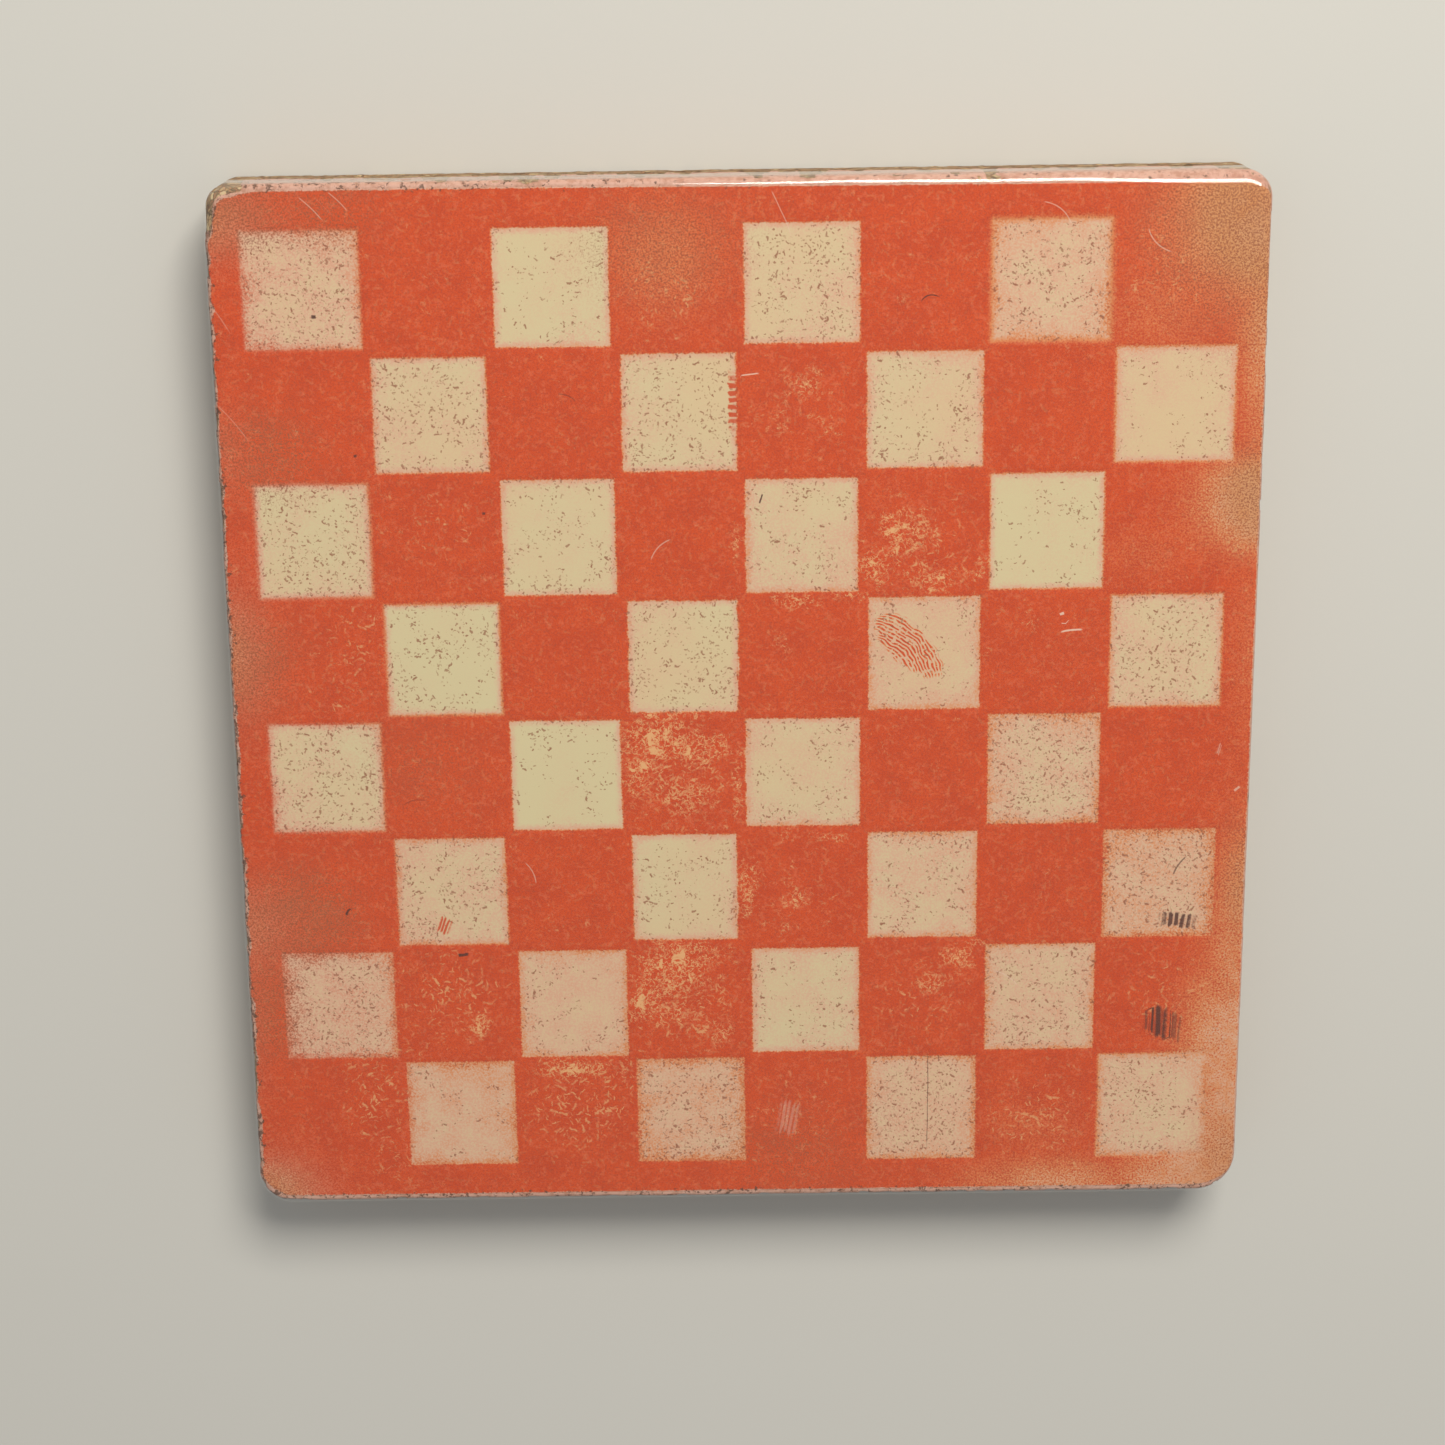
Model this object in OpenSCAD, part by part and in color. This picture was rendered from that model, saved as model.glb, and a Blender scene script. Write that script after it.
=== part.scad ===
// Home-made draughts board: a slab of three-layer chipboard, painted cream on its
// face and edges, sprayed red-orange round thirty-two masked squares, and flooded
// with a thick clear varnish that rolls over the front edge.
// The board lies on its back: +Z comes out of the playing face, +Y is the edge that
// is at the top when the board stands up, and the origin is at the middle of the back.

/* [Board] */
// Width of the slab along its bottom edge
board_w = 216.6; // [150:0.1:400]
// Height of the slab, from its bottom edge to its top edge
board_h = 224; // [150:0.1:400]
// Thickness of the bare chipboard
board_t = 19; // [10:0.5:30]
// How far the left edge leans in by the time it reaches the top
left_lean = 1.6; // [0:0.1:4]
// Radius of the two top corners, left and right
top_corners = [4.5, 5.5]; // [3:0.5:20]
// Radius of the two bottom corners, left and right
bottom_corners = [7, 8.5]; // [3:0.5:20]

/* [Chipboard layers] */
// Thickness of the fine layer under the playing face
face_layer_t = 3; // [1:0.5:4.5]
// Thickness of the fine layer at the back
back_layer_t = 3; // [1:0.5:4.5]

/* [Squares] */
// Distance from one column to the next
pitch_x = 25.4; // [18:0.1:26]
// Distance from one row to the next
pitch_y = 26; // [18:0.1:27]
// Rows, and columns, on the board
cells = 8; // [8:8]
// Share of a cell that its masked square takes up
square_share = 0.93; // [0.85:0.01:0.98]
// How far the middle of the squares is from the middle of the board
grid_shift = [0.7, -0.2]; // [-3:0.1:3]

/* [Paint] */
// Thickness of the cream undercoat
undercoat_t = 0.2; // [0.1:0.05:0.4]
// How far the undercoat reaches down the side of the slab
undercoat_reach = 14; // [6:0.5:18]
// Thickness of the red coat
red_t = 0.1; // [0.05:0.05:0.2]
// Thickness of the varnish over the undercoat
varnish_t = 0.5; // [0.3:0.1:1]
// How far the varnish runs down the side of the slab
varnish_reach = 12; // [3:0.5:14]

/* [Hidden] */
$fn = 64;

core_top = board_t - face_layer_t;
paint_top = board_t + undercoat_t;

// Corners run counter-clockwise from the bottom left: middle of the arc, then its radius
corners = [
    [-board_w / 2 + bottom_corners[0], -board_h / 2 + bottom_corners[0], bottom_corners[0]],
    [board_w / 2 - bottom_corners[1], -board_h / 2 + bottom_corners[1], bottom_corners[1]],
    [board_w / 2 - top_corners[1], board_h / 2 - top_corners[1], top_corners[1]],
    [-board_w / 2 + left_lean + top_corners[0], board_h / 2 - top_corners[0], top_corners[0]]
];

function corner(i) = corners[i % 4];
function middle(i) = [corner(i).x, corner(i).y];
function radius(i) = corner(i).z;
function along(i) = middle(i + 1) - middle(i);
// Direction in which side i faces, which runs from corner i to corner i + 1
function facing(i) =
    atan2(along(i).y, along(i).x) - 90 + asin((radius(i) - radius(i + 1)) / norm(along(i)));
function at(i, grow, angle) = middle(i) + (radius(i) + grow) * [cos(angle), sin(angle)];

// The slab's outline, grown outwards, with a true arc at each corner
module outline(grow) {
    for (i = [0:3]) translate(middle(i)) circle(radius(i) + grow);
    polygon([for (i = [0:3]) each [at(i, grow, facing(i + 3)), at(i, grow, facing(i))]]);
}

module layer(grow, bottom, top) {
    translate([0, 0, bottom]) linear_extrude(top - bottom) outline(grow);
}

// One masked square for each cell of the light colour, the top left cell among them
module squares(bottom, top) {
    for (row = [0:cells - 1], col = [0:cells - 1])
        if ((row + col) % 2 == 0)
            translate([
                grid_shift.x + (col - (cells - 1) / 2) * pitch_x,
                grid_shift.y + ((cells - 1) / 2 - row) * pitch_y,
                (bottom + top) / 2
            ])
                cube([square_share * pitch_x, square_share * pitch_y, top - bottom], center = true);
}

module chip_core() {
    color([0.55, 0.44, 0.31]) layer(0, back_layer_t, core_top);
}

module face_chips() {
    color([0.62, 0.52, 0.38]) layer(0, core_top, board_t);
}

module back_chips() {
    color([0.60, 0.50, 0.37]) layer(0, 0, back_layer_t);
}

module cream_undercoat() {
    color([0.85, 0.78, 0.59])
        difference() {
            layer(undercoat_t, board_t - undercoat_reach, paint_top);
            layer(0, -1, board_t);
        }
}

module red_coat() {
    color([0.80, 0.33, 0.20])
        difference() {
            layer(undercoat_t, paint_top, paint_top + red_t);
            squares(paint_top - 1, paint_top + 1);
        }
}

module clear_varnish() {
    color([0.95, 0.93, 0.85, 0.35])
        difference() {
            layer(undercoat_t + varnish_t, board_t - varnish_reach, paint_top + varnish_t);
            layer(undercoat_t, -1, paint_top);
            red_coat();
        }
}

chip_core();
face_chips();
back_chips();
cream_undercoat();
red_coat();
clear_varnish();
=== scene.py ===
"""A home-made draughts board: chipboard, cream undercoat, sprayed red coat and thick varnish.

The board lies on its back. All lengths below are in millimetres unless a name says otherwise.
Cells are counted from the top left, so cell position (0, 0) is the board's top left corner
of the pattern and (8, 8) its bottom right.
"""

import math
from types import SimpleNamespace

import bpy
import numpy as np
from mathutils import Matrix, Vector


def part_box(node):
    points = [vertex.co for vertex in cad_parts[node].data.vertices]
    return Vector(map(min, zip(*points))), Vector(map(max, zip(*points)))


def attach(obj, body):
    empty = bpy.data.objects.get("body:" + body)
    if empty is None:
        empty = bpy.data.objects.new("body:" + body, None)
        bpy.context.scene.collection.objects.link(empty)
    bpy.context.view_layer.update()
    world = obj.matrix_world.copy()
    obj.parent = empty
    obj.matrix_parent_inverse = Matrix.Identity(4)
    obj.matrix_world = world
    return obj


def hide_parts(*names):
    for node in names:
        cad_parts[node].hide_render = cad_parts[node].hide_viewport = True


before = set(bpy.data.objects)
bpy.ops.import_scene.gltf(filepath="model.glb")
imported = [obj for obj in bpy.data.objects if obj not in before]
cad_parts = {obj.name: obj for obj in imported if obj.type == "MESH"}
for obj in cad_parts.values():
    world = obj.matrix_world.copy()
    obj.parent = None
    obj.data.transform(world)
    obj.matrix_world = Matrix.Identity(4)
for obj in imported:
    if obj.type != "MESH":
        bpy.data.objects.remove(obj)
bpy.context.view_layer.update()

MM = 0.001
SEED = 7


# ---- sizes

def box_mm(node):
    low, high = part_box(node)
    return np.array(low) / MM, np.array(high) / MM


SLAB_LOW, SLAB_HIGH = box_mm("chip_core")
BACK_TOP = box_mm("back_chips")[1][2]
CORE_TOP = box_mm("chip_core")[1][2]
FACE_Z = box_mm("face_chips")[1][2]
CREAM_Z = box_mm("cream_undercoat")[1][2]
RED_Z = box_mm("red_coat")[1][2]
VARNISH_Z = box_mm("clear_varnish")[1][2]
CREAM_LOW_Z = box_mm("cream_undercoat")[0][2]
VARNISH_LOW_Z = box_mm("clear_varnish")[0][2]

CELLS = 8
PITCH = np.array([25.4, 26.0])
SQUARE = 0.93 * PITCH
GRID_MIDDLE = np.array([0.7, -0.2])
GRID_BORDER = 1.6  # how far the even grid of faces reaches past the outer cells

LEFT_LEAN = 1.6
CORNER_RADII = (7.0, 8.5, 5.5, 4.5)  # bottom left, bottom right, top right, top left
FAN = 22  # columns round one corner
ARC_STEPS = 8
CREAM_GRID, RED_GRID, VARNISH_GRID = 1.3, 1.05, 2.4  # size of the faces inside a square
MARK_MARGIN = 2.0  # how far round a mark its values hold
MARK_VALUES = ("mark_u", "mark_v", "mark_bend", "mark_tone", "mark_streaks", "mark_on")


# ---- noise

def lattice_value(ix, iy, iz, seed):
    """One random number from 0 to 1 for each whole-numbered point."""
    mixed = (ix * 73856093) ^ (iy * 19349663) ^ (iz * 83492791) ^ ((seed + SEED) * 40503)
    mixed = (mixed & 0xFFFFFFFF).astype(np.uint64)
    mixed = ((mixed ^ (mixed >> np.uint64(13))) * np.uint64(1274126177)) & np.uint64(0xFFFFFFFF)
    mixed = mixed ^ (mixed >> np.uint64(16))
    return mixed.astype(np.float64) / 0xFFFFFFFF


def noise(points, size, seed, octaves=3):
    """Smooth noise from 0 to 1 at each point, with features about size across."""
    total, weight, reach = 0.0, 1.0, 0.0
    for octave in range(octaves):
        scaled = points / size * 2 ** octave + 31.7 * octave
        cell = np.floor(scaled).astype(np.int64)
        part = scaled - cell
        part = part * part * (3 - 2 * part)
        value = 0.0
        for corner in range(8):
            step = np.array([corner & 1, corner >> 1 & 1, corner >> 2 & 1])
            share = np.where(step, part, 1 - part).prod(axis=-1)
            at = cell + step
            value = value + share * lattice_value(at[..., 0], at[..., 1], at[..., 2], seed + octave)
        total, reach, weight = total + value * weight, reach + weight, weight / 2
    return total / reach


def squashed(points, by):
    """Points with their heights scaled, so that noise on them is drawn out along the height."""
    return points * np.array([1, 1, by])


def smooth(low, high, value):
    t = np.clip((value - low) / (high - low), 0, 1)
    return t * t * (3 - 2 * t)


# ---- the pattern of cells

def light_cells():
    return [(col, row) for row in range(CELLS) for col in range(CELLS) if (row + col) % 2 == 0]


def cell_to_mm(col, row):
    """Where a cell position lies on the board."""
    x = GRID_MIDDLE[0] + (np.asarray(col) - CELLS / 2) * PITCH[0]
    y = GRID_MIDDLE[1] + (CELLS / 2 - np.asarray(row)) * PITCH[1]
    return x, y


def digits(rows):
    """One number from 0 to 9 for each light square, row by row, as a share of one."""
    return [int(mark) / 9 for row in rows.split() for mark in row]


# How much red mist, how many brown fibres, how greenish and how blurred each light square is
HAZE = digits("6236 2233 3131 1154 3037 4259 9635 9976")
FIBRES = digits("8255 6642 7431 4537 7239 5349 7226 1785")
GREEN = digits("2542 4333 4538 8423 5944 5531 2152 0002")
BLUR = digits("5118 3125 6113 5114 5112 3113 3112 2325")
# How ragged each one's edges are
RAGGED = digits("1121 1321 1121 1521 1131 1211 1111 1111")

# Edges that stand well off their ruled lines, by column and row: left, right, bottom, top
STRAY_EDGES = {
    (3, 1): (0.2, 0.1, -0.2, 0.0), (7, 1): (0.0, 0.7, 0.5, 0.0), (1, 3): (0.2, 0.6, 0.0, 0.0),
    (4, 4): (-0.5, 0.0, 0.2, 0.0), (3, 5): (0.2, -1.1, 0.5, 0.3), (2, 6): (0.3, 0.0, -0.6, 0.0),
    (4, 2): (0.0, -0.4, -0.2, -0.3), (3, 3): (0.4, -0.3, 0.0, 0.0), (5, 5): (0.0, -0.3, 0.4, 0.2),
}
STRAY_AT_RANDOM = np.random.default_rng(SEED).uniform(-0.25, 0.25, (CELLS, CELLS, 4))

# Marks in the paint, by column and row: half length and half width in mm, angle in degrees,
# bend in mm, tone (1 pale, -1 dark, -0.3 red) and how many streaks it breaks into
MARKS = (
    (0.59, 0.71, 0.5, 0.4, 0, 0, -1, 0), (0.87, 1.81, 0.35, 0.3, 0, 0, -0.7, 0),
    (1.89, 2.30, 0.35, 0.3, 0, 0, -0.7, 0), (5.51, 0.61, 2, 0.17, 20, 0.9, -1, 0),
    (6.54, -0.06, 4, 0.14, -35, 1.2, 0.4, 0), (7.31, 0.21, 3.5, 0.14, -50, -1, 0.4, 0),
    (4.34, -0.07, 5.3, 0.12, -68, 0.3, 0.35, 0), (0.61, -0.15, 3.5, 0.12, -44, 0.2, 0.35, 0),
    (0.83, -0.20, 2.8, 0.12, -44, 0.2, 0.35, 0), (-0.22, 0.6, 6, 0.12, -55, 0.3, 0.2, 0),
    (-0.12, 1.5, 5, 0.12, -50, 0.3, 0.18, 0), (7.68, 5.83, 1.7, 4, 84, 0, -0.8, 6),
    (7.55, 6.75, 4, 1.6, 90, 0, -1, 2), (7.69, 6.80, 3.4, 1.1, 88, 0, -0.45, 2),
    (7.44, 6.73, 2.6, 0.9, 90, 0, -0.5, 2),
    (1.56, 6.06, 1.2, 0.4, 8, 0, -0.9, 0), (0.60, 5.67, 1, 0.3, 60, 0.2, -0.9, 0),
    (1.42, 5.80, 1.9, 1.5, 70, 0, -0.3, 4), (5.556, 7.5, 12.1, 0.1, 90, 0, -0.6, 0),
    (4.16, 2.2, 1.1, 0.2, 70, 0, -0.8, 0), (6.63, 3.18, 0.5, 0.3, 20, 0, 1, 0),
    (6.70, 3.32, 2.4, 0.22, 8, 0.2, 0.9, 0), (7.97, 4.34, 1.3, 0.4, 75, 0, 0.35, 2),
    (7.66, 5.36, 2.6, 0.2, 60, 0.4, -0.6, 0), (4.35, 7.58, 4, 2.4, 80, 0, 0.22, 5),
    (8.13, 4.69, 0.8, 0.3, 40, 0, 0.5, 0), (2.6, 1.35, 2, 0.15, -20, 0.5, -0.4, 0),
    (3.3, 2.6, 3.2, 0.15, 50, 0.8, 0.4, 0), (1.2, 4.7, 2.4, 0.15, 15, 0.6, -0.35, 0),
    (6.2, 6.3, 3.4, 0.15, -30, 0.7, 0.4, 0), (2.2, 5.35, 2.8, 0.15, 110, -0.6, 0.35, 0),
    (3.935, 1.42, 0.95, 5.9, 0, 0, -0.3, 8), (4.07, 1.205, 2, 0.15, 6, 0, 0.7, 0),
)
# Edges of squares where a frayed mask left a comb of teeth: column, row, from, to, pitch and depth
COMBS = (
    (4, 3.2, 3.8, 1.2, 0.5), (4, 5.2, 5.8, 1.2, 0.45),
    (4, 4.2, 4.8, 1.3, 0.4), (4, 2.2, 2.8, 1.3, 0.35),
)

# Soft patches, each by column, row, reach across, reach down and strength
THIN_RED = (
    (8.25, 0, 0.72, 0.62, 0.66), (8.3, 1, 0.32, 0.9, 0.34), (8.25, 2.3, 0.5, 0.38, 0.55),
    (8.2, 3.5, 0.2, 0.9, 0.12), (8.3, 5.9, 0.35, 0.9, 0.35), (8.2, 7.2, 0.45, 0.9, 0.56),
    (8.1, 8.2, 0.7, 0.35, 0.72), (6.7, 8.2, 0.8, 0.22, 0.32), (-0.3, 8.25, 0.6, 0.4, 0.40),
    (-0.3, 3.4, 0.42, 0.7, 0.22), (-0.3, 1.8, 0.3, 0.5, 0.12), (-0.35, 0, 0.7, 0.35, 0.22),
    (-0.3, 5.8, 0.5, 0.5, 0.20), (-0.35, 6.6, 0.22, 1, 0.16), (3.4, 0.3, 0.5, 0.5, 0.14),
    (7.3, 2.7, 0.5, 0.25, 0.08), (7.4, 0.8, 0.6, 0.4, 0.12), (6.5, 7.7, 0.5, 0.3, 0.10),
)
DULL = (
    (8.25, 0.1, 0.95, 0.8, 0.85), (8.35, 1.2, 0.3, 0.9, 0.2), (8.35, 2.2, 0.4, 0.4, 0.7),
    (-0.2, 3.5, 0.45, 0.45, 0.55), (8.2, 8, 0.4, 0.5, 0.25),
    (0.1, 1.8, 0.5, 0.4, 0.40), (-0.1, -0.1, 0.5, 0.3, 0.60), (0.2, 5.7, 0.5, 0.4, 0.60),
    (-0.1, 6.5, 0.3, 0.5, 0.45), (3.4, 0.2, 0.7, 0.5, 0.35), (0.7, -0.1, 0.5, 0.3, 0.30),
    (8.2, 5.4, 0.2, 0.5, 0.35), (5.2, 7.6, 0.5, 0.5, 0.10), (-0.2, 8.2, 0.4, 0.3, 0.30),
    (4.4, 7.9, 0.7, 0.5, 0.25), (1.3, 4.4, 0.6, 0.5, 0.20),
)
SCUFFED = (
    (5.35, 2.5, 0.22, 0.22, 1), (5.1, 2.78, 0.16, 0.16, 0.7), (5.6, 2.9, 0.3, 0.12, 0.55),
    (5.95, 2.8, 0.1, 0.14, 0.5), (4.45, 3.05, 0.25, 0.07, 0.6), (4.9, 3, 0.16, 0.06, 0.6),
    (3.3, 4.2, 0.3, 0.2, 1), (3.12, 4.5, 0.14, 0.2, 0.8), (3.65, 4.3, 0.25, 0.16, 0.8),
    (3.5, 4.7, 0.35, 0.2, 0.55), (3.95, 4.6, 0.06, 0.3, 0.5), (3.35, 6.25, 0.32, 0.25, 0.95),
    (3.1, 6.5, 0.14, 0.2, 0.8), (3.6, 6.1, 0.25, 0.12, 0.7), (3.75, 6.8, 0.16, 0.12, 0.6),
    (3.35, 6.62, 0.3, 0.14, 0.6), (2.4, 7.08, 0.22, 0.1, 0.95), (2.7, 7.1, 0.2, 0.08, 0.6),
    (1.69, 6.72, 0.10, 0.10, 0.75), (5.8, 6.15, 0.14, 0.12, 0.75), (5.58, 6.36, 0.14, 0.1, 0.65),
    (5.95, 6.02, 0.1, 0.05, 0.6), (4.05, 5.5, 0.08, 0.25, 0.75), (4.4, 5.6, 0.12, 0.1, 0.6),
    (4.4, 5.85, 0.12, 0.06, 0.55), (4.7, 5.07, 0.16, 0.05, 0.6), (4.35, 5.05, 0.16, 0.05, 0.5),
    (4.54, 1.27, 0.2, 0.12, 0.55), (4.7, 1.6, 0.16, 0.12, 0.45), (4.3, 1.6, 0.14, 0.1, 0.35),
    (7.95, 6.9, 0.1, 0.18, 0.5), (8.05, 2.65, 0.12, 0.1, 0.45), (4.3, 3.4, 0.1, 0.1, 0.35),
    (3.4, 3.98, 0.3, 0.06, 0.7), (6.35, 3.25, 0.2, 0.1, 0.25), (3.95, 2.6, 0.04, 0.3, 0.4),
)
FLAKED = (
    (2.5, 7.45, 0.5, 0.42, 1), (2.8, 7.2, 0.35, 0.3, 0.8), (1.45, 6.4, 0.45, 0.42, 0.7),
    (0.75, 7.35, 0.25, 0.4, 0.8), (0.9, 7.9, 0.3, 0.25, 0.55), (1, 6.9, 0.5, 0.12, 0.4),
    (3.4, 0.55, 0.4, 0.4, 0.55), (3.5, 4.6, 0.5, 0.4, 0.8), (3.5, 6.5, 0.45, 0.45, 0.7),
    (5.5, 6.5, 0.45, 0.4, 0.5), (4.4, 7.5, 0.5, 0.4, 0.4), (6.5, 7.6, 0.45, 0.45, 0.6),
    (7.6, 6.5, 0.4, 0.45, 0.5), (7.9, 7.6, 0.2, 0.4, 0.4), (0.8, 3.3, 0.25, 0.35, 0.6),
    (5.5, 2.6, 0.45, 0.4, 0.6), (4.5, 1.4, 0.4, 0.4, 0.35), (1.5, 2.4, 0.4, 0.3, 0.45),
    (7.4, 0.5, 0.5, 0.5, 0.4), (4.45, 5.5, 0.4, 0.4, 0.3), (0.6, 3.8, 0.3, 0.25, 0.35),
    (7.5, 2.5, 0.4, 0.3, 0.25), (2.6, 5.8, 0.4, 0.15, 0.25), (1.5, 0.6, 0.4, 0.3, 0.2),
    (5.4, 0.4, 0.4, 0.4, 0.2), (6.6, 3.5, 0.35, 0.4, 0.15), (5.3, 7.1, 0.4, 0.1, 0.3),
)


def patches(points, spots):
    """The strength at each point of a set of soft patches."""
    total = np.zeros(len(points))
    for col, row, across, down, strength in spots:
        x, y = cell_to_mm(col, row)
        away = ((points[:, 0] - x) / (across * PITCH[0])) ** 2
        away = away + ((points[:, 1] - y) / (down * PITCH[1])) ** 2
        total = np.maximum(total, strength * np.exp(-away)) + 0.3 * strength * np.exp(-away) * (total > 0)
    return np.clip(total, 0, 1)


def square_distances(points):
    """How far each point is outside its nearest light square, and which square that is."""
    best, nearest = np.full(len(points), 1e9), np.zeros(len(points), int)
    for number, (col, row) in enumerate(light_cells()):
        middle = np.array(cell_to_mm(col + 0.5, row + 0.5))
        off = np.abs(points[:, :2] - middle) - SQUARE / 2
        outside = np.linalg.norm(np.maximum(off, 0), axis=1)
        distance = outside + np.minimum(off.max(axis=1), 0)
        closer = distance < best
        best[closer], nearest[closer] = distance[closer], number
    return best, nearest


# ---- the slab's outline

class Corner:
    def __init__(self, x, y, radius):
        self.middle, self.radius = np.array([x, y]), radius


def slab_corners():
    """Counter-clockwise from the bottom left."""
    left, bottom = SLAB_LOW[:2]
    right, top = SLAB_HIGH[:2]
    r = CORNER_RADII
    return (
        Corner(left + r[0], bottom + r[0], r[0]),
        Corner(right - r[1], bottom + r[1], r[1]),
        Corner(right - r[2], top - r[2], r[2]),
        Corner(left + LEFT_LEAN + r[3], top - r[3], r[3]),
    )


def facing(a, b):
    """The direction in which the side from corner a to corner b faces."""
    along = b.middle - a.middle
    turn = math.asin((a.radius - b.radius) / np.linalg.norm(along))
    return math.atan2(along[1], along[0]) - math.pi / 2 + turn


def inset_from_edge(points):
    """How far inside the slab's outline each point lies."""
    corners = slab_corners()
    turns = [facing(corners[i], corners[(i + 1) % 4]) for i in range(4)]
    normals = [np.array([math.cos(turn), math.sin(turn)]) for turn in turns]
    flat = points[:, :2]
    lines = [(flat - corners[i].middle) @ normals[i] - corners[i].radius for i in range(4)]
    outside = np.max(lines, axis=0)
    for i, corner in enumerate(corners):
        off = flat - corner.middle
        beyond = (off @ normals[i - 1] > 0) & (off @ normals[i] > 0)
        outside = np.where(beyond, np.linalg.norm(off, axis=1) - corner.radius, outside)
    return -outside


def red_inset(points):
    """How far inside the outline the red coat stops near each point. Along the bottom the stop is wide,
    so the pale undercoat band there is partly bare undercoat and partly a painted highlight on the bottom
    edge.
    """
    x, y = points[:, 0], points[:, 1]
    top, bottom = smooth(-5, -1, y - SLAB_HIGH[1]), smooth(5, 1, y - SLAB_LOW[1])
    left = smooth(6, 3, x - SLAB_LOW[0]) * (1 - top)
    flat = squashed(points, 0)
    wobble = noise(flat, 2.5, 61, 3) - 0.5
    away = np.hypot(x - SLAB_LOW[0] - 1, y - SLAB_HIGH[1] + 1)
    corner = 1 - smooth(3, 11, away)
    # The 1.15 mm stop along the bottom bares a pale undercoat band that also serves as a painted
    # highlight on the bottom edge.
    stop = 0.25 + top * (0.95 + 0.9 * smooth(-70, 90, x)) + 1.15 * bottom + left * (0.45 + 1.6 * wobble)
    return stop + 0.25 * wobble + corner * (1.9 + 1.2 * wobble)


class Rim:
    """Columns of points round the slab, one for each border point of a grid and a fan at each corner.
    Column k lies at middle + (radius + grow) * normal, and inner says which grid point it hangs from."""

    def __init__(self, xs, ys):
        corners = slab_corners()
        angles = [facing(corners[i], corners[(i + 1) % 4]) for i in range(4)]
        across, up = len(xs), len(ys)
        sides = (
            [i for i in range(across)],
            [j * across + across - 1 for j in range(up)],
            [(up - 1) * across + i for i in reversed(range(across))],
            [j * across for j in reversed(range(up))],
        )
        middle, radius, angle, inner = [], [], [], []
        for side, indices in enumerate(sides):
            a, b = corners[side], corners[(side + 1) % 4]
            line = xs if side % 2 == 0 else ys
            share = (line - line[0]) / (line[-1] - line[0])
            share = 1 - share[::-1] if side >= 2 else share
            for t, index in zip(share, indices):
                middle.append(a.middle * (1 - t) + b.middle * t)
                radius.append(a.radius * (1 - t) + b.radius * t)
                angle.append(angles[side])
                inner.append(index)
            turn = (angles[(side + 1) % 4] - angles[side]) % (2 * math.pi)
            for step in range(1, FAN):
                middle.append(b.middle)
                radius.append(b.radius)
                angle.append(angles[side] + turn * step / FAN)
                inner.append(indices[-1])
        self.middle, self.radius = np.array(middle), np.array(radius)
        self.normal = np.stack([np.cos(angle), np.sin(angle)], axis=1)
        self.inner = np.array(inner)
        self.edge = self.at(0, 0)

    def at(self, grow, z):
        grow = np.broadcast_to(grow, self.radius.shape)
        flat = self.middle + (self.radius + grow)[:, None] * self.normal
        return np.column_stack([flat, np.broadcast_to(z, self.radius.shape)])

    def near(self, x, y, reach):
        """1 close to a place on the outline, falling to 0 further away than reach."""
        away = np.hypot(self.edge[:, 0] - x, self.edge[:, 1] - y)
        return 1 - smooth(0.3 * reach, reach, away)


def front_radius(rim):
    """How round the front edge is in each column: sharp on most sides, worn round at the top right."""
    top = smooth(0.5, 1, rim.normal[:, 1])
    along_top = smooth(-60, 90, rim.edge[:, 0])
    right_corner = rim.near(SLAB_HIGH[0], SLAB_HIGH[1], 42)
    left_corner = rim.near(SLAB_LOW[0] + 1, SLAB_HIGH[1] - 1, 12)
    radius = 0.95 + 0.9 * top * along_top + 0.9 * right_corner + 1.6 * left_corner
    return radius + 0.3 * (noise(rim.edge, 11, 3, 2) - 0.5)


def roughness_round(rim):
    """How chipped the edge is in each column, from 0 to 1."""
    left = smooth(0.3, 1, -rim.normal[:, 0])
    bottom = smooth(0.3, 1, -rim.normal[:, 1])
    right = smooth(0.3, 1, rim.normal[:, 0])
    top_left = smooth(0.3, 1, rim.normal[:, 1]) * smooth(10, -60, rim.edge[:, 0])
    return np.clip(0.2 + 0.75 * left + 0.5 * bottom + 0.2 * right + 0.3 * top_left, 0, 1)


# ---- sheets and layers

def grid_lines(axis, step):
    """Ruled lines across the pattern, close together at the edges of the squares."""
    pitch, square = PITCH[axis], SQUARE[axis]
    first = GRID_MIDDLE[axis] - CELLS / 2 * pitch
    lines = [first - GRID_BORDER]
    for cell in range(CELLS):
        low = first + cell * pitch + (pitch - square) / 2
        fine = (0, 0.2, 0.6, 1.2)
        count = max(2, round((square - 2 * fine[-1]) / step))
        lines += [low - 0.6, low - 0.25]
        lines += [low + f for f in fine[:-1]]
        lines += list(np.linspace(low + fine[-1], low + square - fine[-1], count + 1))
        lines += [low + square - f for f in fine[-2::-1]]
        lines += [low + square + 0.25, low + square + 0.6]
    lines.append(first + CELLS * pitch + GRID_BORDER)
    return np.array(lines)


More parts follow.
